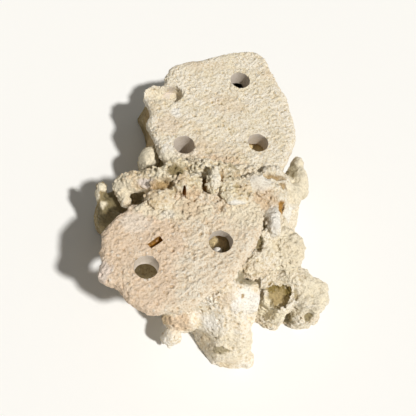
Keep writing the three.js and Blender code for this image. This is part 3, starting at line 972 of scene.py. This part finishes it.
back = welded("back_ledge")
for hole in WHOLE_HOLES:
    plug(back, hole, BACK_TOP - LEDGE_THICKNESS + PLUG_LIFT, BACK_TOP)
back_spots = [
    spot((-20, 65, 52), (3.5, 4.5, 4), WHITE, 0.8),
    spot((-24, 56, 52), (8, 9, 4), BLUSH, 0.35),
    spot((12, 74, 52), (10, 8, 4), BLUSH, 0.25),
    spot((8, 31, 52), (16, 5, 5), BLUSH, 0.5),
    spot((-24, 37, 52), (5, 6, 5), WHITE, 0.6, calm=0.4),
    spot((-24, 32, 51), (6, 6, 5), CREAM, 0.7, calm=0.6),
    spot((-5, 108, 52), (26, 12, 6), calm=0.5),
    spot((24, 66, 52), (14, 12, 6), calm=0.4),
    # Olive painted shade in the crevice between the ledge and the crust.
    spot((-11, 31, 52), (9, 3.5, 5), OLIVE_SHADE, 0.3),
    spot((0, 38, 52), (24, 8, 6), BLUSH, 0.25),
    spot((-18, 82, 46), (6, 8, 6), CREAM, 0.6),
    spot((-30, 78, 48), (5, 7, 6), CREAM, 0.8),
]
back_crumbs = [crumb_set((2, 28, 50), (46, 12, 9), 2, 0.6, 1.4, 1.0, 1)]
back_ledge = stone("back_ledge", cream, 0.5, 2, PLATE, 3, back_crumbs, back_spots, back)
for hole in ("back_hole_right_rear", BROKEN_HOLE, "back_hole_left_front", "back_hole_right_front"):
    drill(back_ledge, hole, BACK_TOP, BACK_TOP - (BROKEN_DEPTH if hole == BROKEN_HOLE else BORE_DEPTH))
settle(back_ledge, back_spots)

# %% Front ledge
FRONT_HOLES = ("front_hole_left", "front_hole_right")
SLIT = (-29.5, -29.5)
SLIT_TURN = math.radians(40)
SLIT_FILLER = (9, 4, 10.4)
SLIT_CUTTER = (8, 3.2, 8)  # its lower half cuts

front = welded("front_ledge")
for hole in FRONT_HOLES:
    plug(front, hole, FRONT_TOP - LEDGE_THICKNESS + PLUG_LIFT, FRONT_TOP)
block(front, (*SLIT, FRONT_TOP - LEDGE_THICKNESS / 2), SLIT_FILLER, SLIT_TURN)
front_spots = [
    spot((-56, -46, 64), (6, 7, 9), LILAC, 0.6),
    spot((-40, -19, 66), (9, 7, 5), WHITE, 0.35),
    spot((-22, -9, 67), (26, 7, 6), CREAM, 0.8),
    spot((-12, -9, 67), (8, 6, 6), BLUSH, 0.5),
    spot((-24, -13, 67), (4, 3, 4), WHITE, 0.4),
    spot((-38, -34, 66), (10, 10, 6), calm=0.4),
    spot((20, -8, 66), (14, 12, 6), CREAM, 0.6),
]
front_crumbs = [
    crumb_set((-14, -4, 66), (42, 14, 9), 2.8, 0.9, 1.9, 1.0, 2),
    crumb_set((-8, -4, 66), (46, 21, 9), 1.7, 0.5, 1.1, 1.0, 15),
    crumb_set((24, -6, 64), (12, 16, 9), 1.8, 0.5, 1.1, 1.0, 3),
]
front_ledge = stone("front_ledge", pink, 0.5, 2, PLATE, 11, front_crumbs, front_spots, front)
carve(front_ledge, block(bmesh.new(), (*SLIT, FRONT_TOP), SLIT_CUTTER, SLIT_TURN), amber)
carve(front_ledge, pocket((5, -24, 54.5), (8.4, 8.6, 6)), stained)
for hole in FRONT_HOLES:
    drill(front_ledge, hole, FRONT_TOP, FRONT_TOP - BORE_DEPTH)
settle(front_ledge, front_spots)

# %% [markdown]
# ## The rubble between the ledges
# It is a crust of coral crumbs, knuckled at the left. Two scatters over the same place, coarse and fine,
# look more natural than one with a wide range of sizes. Its hollows are pushed in, because a cutter would
# leave them a hard rim.

# %% Ridge of crumbs
ridge_spots = [
    # Olive painted shade round the flake.
    spot((14, 4.5, 66), (13, 11, 9), OLIVE_SHADE, 0.5),
    # Tan and olive painted shade in two pushed-in hollows.
    spot((-27.3, 5.7, 65), (6, 5, 6.5), TAN_SHADE, 1.0, (0, 0, -4)),
    spot((-17.7, 15.5, 65.5), (8, 4.5, 6.5), OLIVE_SHADE, 0.9, (0, 0, -3.5)),
    spot((-3.3, 7.4, 63.5), (3.4, 5, 6.5), AMBER, 0.9, (0, 0, -2.2)),
    spot((5, 9.5, 69), (1.5, 4.5, 5), AMBER, 0.9, (0, 0, -1.5)),
    spot((-10, -3, 67), (8, 7, 6), BLUSH, 0.8),
    # Olive painted shade on the ledge's edge behind the flake.
    spot((15, 22, 60), (9, 6, 7), OLIVE_SHADE, 0.55, (0, 0, -1)),
    spot((1, 8.5, 72), (3.4, 7.5, 6), WHITE, 0.5),
    spot((-35.7, 8.6, 61), (5.4, 2.8, 5), LILAC, 0.8, calm=0.5),
    spot((-46, 11, 52), (9, 9, 8), CREAM, 0.9, calm=0.3),
    spot((-28.7, 12, 66), (6, 4, 5), CREAM, 0.7),
    spot((-40, 5, 45), (5, 6, 6), SHADE, 0.9),
    # Painted light: a pale glow on the rock seen through the front right hole, where the light hardly
    # reaches.
    spot((5, -12, 50), (12, 8, 10), PAINTED_LIGHT, 1.0),
]
ridge_crumbs = [
    crumb_set((-6, 8, 60), (32, 24, 20), 3.4, 0.9, 1.9, 0.8, 4),
    crumb_set((-6, 8, 60), (34, 26, 20), 1.9, 0.5, 1.2, 1.0, 5),
    crumb_set((-45, 10, 52), (14, 10, 12), 2.4, 0.6, 1.2, 0.6, 6),
]
ridge = stone("ridge_rock", crumbs, 0.5, 4, CRUMBLY, 23, ridge_crumbs, ridge_spots)
carve(ridge, pocket((-15.2, -1, 68), (1.1, 6, 4)), amber)
settle(ridge, ridge_spots)

# %% [markdown]
# ## The white foot
# The block under the front ledge is freshly broken, so its face is kept calm where the break is clean, and
# is pricked with a few pits, darkened with painted shade. Its notch and its tip are pushed by less than 3
# mm.

# %% Foot
foot_spots = [
    # Tan painted shade left of the neck.
    spot((-21.5, -59.8, 29.6), (5, 4, 8), TAN_SHADE, 0.8),
    spot((-13, -61.5, 31), (9, 6, 8), BLUSH, 0.8),
    spot((11, -53, 50), (7, 7, 8), BLUSH, 0.4),
    spot((20, -52, 41), (13, 8, 16), WHITE, 0.9, calm=0.7),
    spot((18, -66, 18), (16, 14, 18), CREAM, 0.4, calm=0.3),
    spot((4, -60, 32), (6, 5, 8), WHITE, 0.6, calm=0.7),
    # Tan painted shade in a few pushed-in pits.
    spot((24, -57, 34), (1.6, 1.6, 4), TAN_SHADE, 0.9, (0, 0.8, -0.8)),
    spot((19, -50, 46), (1.6, 1.6, 4), TAN_SHADE, 0.9, (0, 0.8, -0.8)),
    spot((16, -62, 26), (2, 2, 4), TAN_SHADE, 0.8, (0, 0.8, -0.8)),
    spot((22, -70, 14), (2.6, 2.2, 4), TAN_SHADE, 0.6, (0, 0.6, -0.6)),
    # Olive painted shade in a groove.
    spot((10, -72.5, 18), (8, 2, 5), OLIVE_SHADE, 0.7, (0, 0.8, -1.4)),
    spot((20.5, -40.5, 48), (9, 6, 7), SHADE, 0.75),
    spot((30, -60.5, 14), (4.5, 5, 9), push=(-2.6, 0, 0)),
    spot((31.5, -75, 4), (6, 5, 7), push=(2.6, -0.6, 0)),
]
foot_crumbs = [
    crumb_set((4, -50, 50), (16, 10, 12), 2.2, 0.5, 1.3, 0.8, 7),
    crumb_set((-14, -62, 24), (9, 8, 14), 2.2, 0.5, 1.3, 0.8, 9),
    crumb_set((-19, -66, 7), (8, 8, 9), 3.2, 1.0, 2.0, 0.8, 20),
]
foot = stone("foot_rock", broken, 0.5, 2, SMOOTH, 31, foot_crumbs, foot_spots)
settle(foot, foot_spots)

# %% [markdown]
# ## The pitted corner
# Its flank gets a few smooth lumps before the remesh, which hide the solid's facets. The pit is cut with
# three overlapping pockets, because one ball would look moulded, and its floor is painted afterwards.

# %% Corner
corner_spots = [
    spot((46, -20, 47), (18, 18, 12), CREAM, 0.7),
    spot((64, -40, 30), (14, 16, 16), CREAM, 0.8, calm=0.2),
    # Painted light on the lower face, which is turned from the sun.
    spot((40, -48, 24), (14, 9, 12), PAINTED_LIGHT_SAND, 0.9),
    # Olive painted shade in crevices, and in streaks round the pit.
    spot((29.5, -13, 57), (2.6, 4, 6), OLIVE_SHADE, 0.9, (0, 0, -2.5)),
    spot((28, -22, 56), (2.6, 5, 6), OLIVE_SHADE, 0.9, (0, 0, -2.5)),
    spot((34, -41, 40), (6, 1.6, 5), OLIVE_SHADE, 0.8, (0, 0, -1.5)),
    spot((33, -47, 34), (1.2, 6, 7), OLIVE_SHADE, 0.7, (0, 0, -1)),
    spot((52.5, -44, 36), (1.2, 5, 6), OLIVE_SHADE, 0.5, (0, 0, -1)),
    spot((44, -44.5, 31.5), (7.5, 7, 5), push=(0, 0.6, 2.6), calm=0.8),
    # Olive painted shade low down on the right.
    spot((62.2, -52.6, 23.2), (3, 3, 4.5), OLIVE_SHADE, 0.9),
    spot((54, -50, 12), (3.5, 5, 10), OLIVE_SHADE, 0.9),
    spot((44, -36, 45), (12, 7, 6), CREAM, 0.5),
    spot((43, -45.5, 33.5), (6.2, 5.6, 5), DUST, 1.0),
]
corner_crumbs = [
    crumb_set((40, -25, 48), (20, 15, 12), 2.1, 0.5, 1.2, 0.8, 8),
    crumb_set((27, -34, 48), (10, 8, 8), 2, 0.6, 1.2, 1.0, 10),
]
flank = welded("corner_rock")
swell(flank, (31, -15, 51), (9, 10, 9))
swell(flank, (30, -26, 49), (8, 9, 9))
swell(flank, (44, -20, 46), (13, 13, 8))
swell(flank, (25, -33, 48), (7, 7, 8))
corner = stone("corner_rock", cream, 0.5, 3, PITTED, 43, corner_crumbs, corner_spots, flank)
carve(corner, pocket((40.9, -43.5, 36.8), (4.6, 4.6, 3.8), 0.25), hollowed)
carve(corner, pocket((46, -43, 36.8), (4, 4.4, 3.8), 0.25), hollowed)
carve(corner, pocket((43.8, -47.5, 35), (4.2, 4.8, 4.4), 0.25), hollowed)
settle(corner, corner_spots)

# %% [markdown]
# ## The horn and the flake
# The horn is rough where crumbs cling to it, and calm on its white broken face and its outer side. The
# flake lies loose on top and is the smallest piece, so it gets the finest faces.

# %% Horn
horn_spots = [
    spot((32, 4.2, 58), (9, 8, 8), BLUSH, 0.6),
    spot((28.6, 13.3, 62), (8, 6, 6), WHITE, 0.5, calm=0.9),
    spot((57, 24, 46), (10, 18, 14), CREAM, 0.9, calm=0.6),
    spot((50, 12, 50), (8, 9, 8), CREAM, 0.7, calm=0.6),
    # Tan painted shade in pushed-in crevices.
    spot((38.4, 19.4, 59), (8, 2, 6), TAN_SHADE, 0.9, (0, 0, -2.5)),
    spot((43.6, 13.9, 58.5), (3.6, 3, 5), TAN_SHADE, 0.9, (0, 0, -2.5)),
    spot((36.3, -10, 60), (4.6, 10.5, 9), WHITE, 0.8, calm=0.5),
    spot((51, 1, 43), (8, 9, 12), WHITE, 0.8, calm=0.6),
    spot((41.6, -0.6, 56), (2.4, 7, 7), AMBER, 1.0, (0, 0, -2.5)),
    # Olive painted shade in a strip at the rear right.
    spot((53.5, 32, 47), (3, 6, 7), OLIVE_SHADE, 0.6),
]
horn_crumbs = [
    crumb_set((34, 10, 56), (12, 14, 10), 2.6, 0.5, 1.2, 0.5, 12),
    crumb_set((28, 18, 58), (14, 12, 9), 2, 0.5, 1.2, 1.0, 13),
    crumb_set((32, 4, 58), (9, 8, 8), 1.6, 0.5, 0.9, 1.0, 17),
]
horn = stone("horn_rock", cream, 0.5, 4, PITTED, 59, horn_crumbs, horn_spots)
settle(horn, horn_spots)

# %% Pale flake
flake_spots = [
    # Olive painted shade in two pushed-in pits.
    spot((13.5, 4.7, 71), (2.4, 1.2, 3), OLIVE_SHADE, 0.6, (0, 0, -1)),
    spot((20, 0.3, 71), (1.2, 2, 3), OLIVE_SHADE, 0.6, (0, 0, -1)),
    spot((14, -5.5, 68.5), (7, 1.8, 4), WHITE, 0.9, calm=0.8),
]
flake_crumbs = [crumb_set((14, 4, 70), (13, 10, 6), 1.8, 0.4, 1.0, 0.8, 14)]
flake = stone("pale_flake", crumbs, 0.4, 4, SMOOTH, 67, flake_crumbs, flake_spots)
settle(flake, flake_spots)

# %% [markdown]
# ## The low rocks
# Brown stone carries both ledges; its brown is partly painted shade. It shows through the holes too, so wide
# plugs close the gaps round the back ones, and lumps of the base, with painted light on them, show in a
# front one. Most of it is hidden, so larger faces are enough.

# %% Rear rock
COLLAR = 9  # radius of the plugs round the back holes
COLLAR_FOOT, COLLAR_TOP, MOUTH = 34, 41.8, 44
FLOORS = (30, 31, 39.2)  # where each hole ends
CLEARANCE = 0.15  # the holes are this much wider here, so that no wall lies in another

rear = welded("rear_rock")
for hole in WHOLE_HOLES:
    plug(rear, hole, COLLAR_FOOT, COLLAR_TOP, COLLAR)
rear_spots = [
    # Tan painted shade on the band left of the back ledge, lighter than the bare brown.
    spot((-34, 66, 30), (9, 34, 26), TAN_SHADE, 0.6),
    spot((-36, 38, 38), (8, 11, 12), CREAM, 1.0, calm=0.4),
    # Painted light in the pocket under the right front back hole.
    spot((31, 52, 40), (9, 9, 8), PAINTED_LIGHT, 0.9),
]
rear_crumbs = [crumb_set((-36, 38, 34), (8, 11, 14), 2.6, 0.6, 1.4, 0.8, 18)]
rear_rock = stone("rear_rock", brown, 0.7, 6, LOW_ROCK, 71, rear_crumbs, rear_spots, rear)
for hole, floor in zip(WHOLE_HOLES, FLOORS):
    drill(rear_rock, hole, MOUTH, floor, HOLE_RADIUS + CLEARANCE)
# Near-black painted shade in the void under the right rear hole.
carve(rear_rock, pocket((18, 99, 37), (8.5, 8, 6)), void_shade)
carve(rear_rock, pocket((29.1, 52.1, 41.3), (9, 9.5, 4)), stained)
settle(rear_rock, rear_spots)

# %% Base
base_spots = [
    spot((-54, 4, 36), (11, 16, 14), SHADE, 0.9, calm=0.6),
    spot((-61, 12.5, 46), (3.4, 2.6, 5), CREAM, 1.0),
    spot((-63.8, 7.5, 45), (2.2, 5, 5), CREAM, 1.0),
    spot((-59.5, 3, 45), (3.4, 2.2, 5), CREAM, 1.0),
    # Painted light on the lumps seen through the front right hole.
    spot((6, -17, 48), (13, 11, 12), PAINTED_LIGHT, 1.0),
    spot((4.6, -28, 54), (4.4, 3.6, 9), WHITE, 1.0, calm=0.6),
]
base_crumbs = [crumb_set((-60.5, 9.5, 43), (6, 9, 8), 1.8, 0.4, 0.9, 1.0, 19)]
low_rock = welded("base_rock")
swell(low_rock, (4.6, -28, 50), (3.8, 3.2, 9.5))
swell(low_rock, (7, -19, 45), (9, 7, 8.5))
base = stone("base_rock", brown, 0.6, 5, LOW_ROCK, 73, base_crumbs, base_spots, low_rock)
settle(base, base_spots)

# %% [markdown]
# ## Floor and light
# A pale floor, a soft key light from the front right, and a pale sky that fills the shade. An area lamp
# would fall off across the rock, so the key is a sun.

# %% Floor
FLOOR_GAP = 0.0005  # metres between rock and floor, so that they don't flicker

floor_mesh = bmesh.new()
bmesh.ops.create_grid(floor_mesh, x_segments=1, y_segments=1, size=3.0)
floor_data = bpy.data.meshes.new("floor")
floor_mesh.to_mesh(floor_data)
floor_mesh.free()
floor = bpy.data.objects.new("floor", floor_data)
floor.location.z = cad_low.z - FLOOR_GAP
bpy.context.scene.collection.objects.link(floor)
paper = bpy.data.materials.new("floor_paint")
paper.use_nodes = True
paper.node_tree.nodes["Principled BSDF"].inputs["Base Color"].default_value = colour("#f4f4f2")
paper.node_tree.nodes["Principled BSDF"].inputs["Roughness"].default_value = 0.9
floor_data.materials.append(paper)
print("floor at", round(1000 * floor.location.z, 1), "mm")

# %% Light
SUN_AZIMUTH = math.radians(-43)
SUN_ELEVATION = math.radians(57)
SUN_STRENGTH = 3.3
SKY_STRENGTH = 0.22

sun_data = bpy.data.lights.new("key", "SUN")
sun_data.energy = SUN_STRENGTH
sun_data.angle = math.radians(4)
sun_data.color = (1.0, 0.98, 0.95)
sun = bpy.data.objects.new("key", sun_data)
flat = math.cos(SUN_ELEVATION)
towards_sun = Vector(
    (math.cos(SUN_AZIMUTH) * flat, math.sin(SUN_AZIMUTH) * flat, math.sin(SUN_ELEVATION))
)
sun.rotation_mode = "QUATERNION"
sun.rotation_quaternion = towards_sun.to_track_quat("Z", "Y")
bpy.context.scene.collection.objects.link(sun)

world = bpy.data.worlds.new("sky")
world.use_nodes = True
world.node_tree.nodes["Background"].inputs["Color"].default_value = colour("#f2efe8")
world.node_tree.nodes["Background"].inputs["Strength"].default_value = SKY_STRENGTH
bpy.context.scene.world = world
bpy.context.scene.view_settings.view_transform = "Standard"
print("sun of", SUN_STRENGTH, "over a sky of", SKY_STRENGTH)
